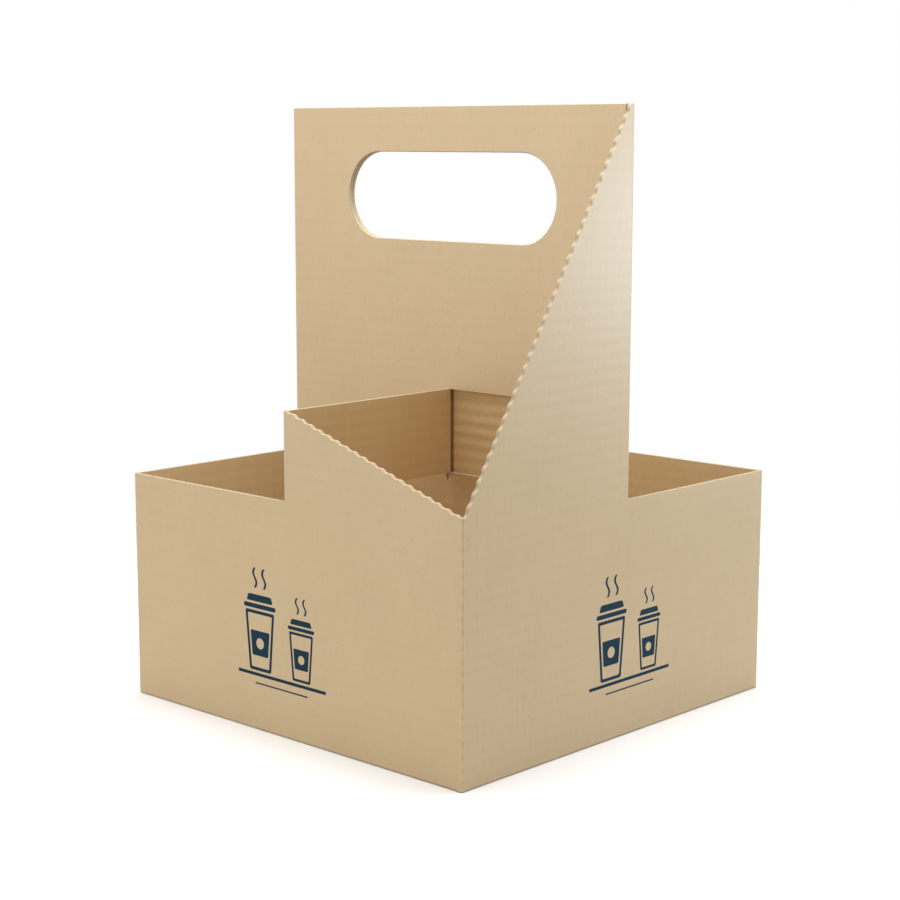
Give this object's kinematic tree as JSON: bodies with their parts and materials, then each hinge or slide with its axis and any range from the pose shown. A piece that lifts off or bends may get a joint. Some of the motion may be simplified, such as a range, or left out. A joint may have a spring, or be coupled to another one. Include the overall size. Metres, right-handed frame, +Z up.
{
  "type": "cup carrier",
  "caption": "Folded corrugated board cup carrier: a square tray of pockets with cross straps, tall side gussets with wave-cut edges and a central double handle with a hand slot.",
  "frame": {"origin": "middle of the base, on the surface the carrier stands on", "axes": "+X along the handle and the front wall, +Y away from the front wall, +Z up"},
  "size_m": [0.184, 0.184, 0.242],
  "materials": {
    "board": "matt uncoated kraft liner"
  },
  "bodies": {
    "root": {"carrier": "board"}
  },
  "joints": []
}
